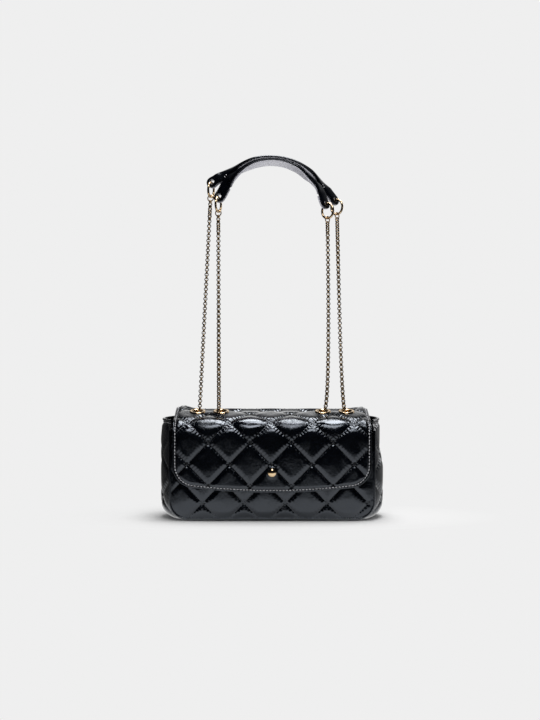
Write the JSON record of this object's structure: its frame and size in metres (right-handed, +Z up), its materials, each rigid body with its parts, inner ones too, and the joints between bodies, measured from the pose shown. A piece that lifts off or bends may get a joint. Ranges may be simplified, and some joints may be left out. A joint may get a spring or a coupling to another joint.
{
  "type": "chain shoulder bag",
  "caption": "Small quilted flap bag in glossy black leather with a chain strap through eyelets, wire rings and an arched leather shoulder handle.",
  "frame": {"origin": "middle of the flat underside that the bag stands on", "axes": "+Z up, -Y out of the front of the bag, +X to the viewer's right"},
  "size_m": [0.25, 0.0793, 0.4063],
  "materials": {
    "black_leather": "glossy crinkled",
    "flap_lining_leather": "smooth satin",
    "lining_fabric": "woven",
    "foam": "matt",
    "stiffener_board": "matt",
    "gold_metal": "polished",
    "snap_metal": "satin"
  },
  "bodies": {
    "bag": {"front_panel": "black_leather", "front_padding": "foam", "back_panel": "black_leather", "back_padding": "foam", "gusset": "black_leather", "base_board": "stiffener_board", "front_piping": "black_leather", "back_piping": "black_leather", "lining": "lining_fabric", "mouth_facing": "black_leather", "inner_pocket": "lining_fabric", "snap_socket": "snap_metal", "snap_socket_washer": "snap_metal"},
    "flap": {"flap": "black_leather", "flap_padding": "foam", "flap_lining": "flap_lining_leather", "eyelet_left_outer": "gold_metal", "washer_left_outer": "gold_metal", "eyelet_left_inner": "gold_metal", "washer_left_inner": "gold_metal", "eyelet_right_inner": "gold_metal", "washer_right_inner": "gold_metal", "eyelet_right_outer": "gold_metal", "washer_right_outer": "gold_metal", "snap_stud": "snap_metal", "snap_stud_washer": "snap_metal", "front_stud": "gold_metal", "front_stud_cap": "gold_metal", "under_chain_left": "gold_metal", "under_chain_right": "gold_metal"},
    "strap": {"handle_strap": "black_leather", "handle_lining": "black_leather", "chain_left_outer": "gold_metal", "jump_ring_left_outer": "gold_metal", "chain_left_inner": "gold_metal", "jump_ring_left_inner": "gold_metal", "chain_right_inner": "gold_metal", "jump_ring_right_inner": "gold_metal", "chain_right_outer": "gold_metal", "jump_ring_right_outer": "gold_metal"},
    "left_outer_ring": {"ring_left_outer": "gold_metal"},
    "left_inner_ring": {"ring_left_inner": "gold_metal"},
    "right_inner_ring": {"ring_right_inner": "gold_metal"},
    "right_outer_ring": {"ring_right_outer": "gold_metal"}
  },
  "joints": [
    {"name": "flap_hinge", "type": "hinge", "parent": "bag", "child": "flap", "pos_m": [0, 0.0336, 0.11], "axis": [-1, 0, 0], "range_deg": [0, 120]},
    {"name": "strap_swing", "type": "hinge", "parent": "flap", "child": "strap", "pos_m": [0, -0.0056, 0.12141], "axis": [1, 0, 0], "range_deg": [-60, 65]},
    {"name": "left_outer_ring_turn", "type": "hinge", "parent": "strap", "child": "left_outer_ring", "pos_m": [-0.06843, 0.00167, 0.36702], "axis": [-0.9424, 0.3324, 0.0382], "continuous": true},
    {"name": "left_inner_ring_turn", "type": "hinge", "parent": "strap", "child": "left_inner_ring", "pos_m": [-0.05992, -0.00618, 0.34973], "axis": [-0.9465, 0.3226, -0.0008], "continuous": true},
    {"name": "right_inner_ring_turn", "type": "hinge", "parent": "strap", "child": "right_inner_ring", "pos_m": [0.06192, -0.00946, 0.34225], "axis": [-0.7002, -0.7139, -0.0049], "continuous": true},
    {"name": "right_outer_ring_turn", "type": "hinge", "parent": "strap", "child": "right_outer_ring", "pos_m": [0.07284, 0.00479, 0.3481], "axis": [-0.7035, -0.7106, 0.0074], "continuous": true}
  ]
}
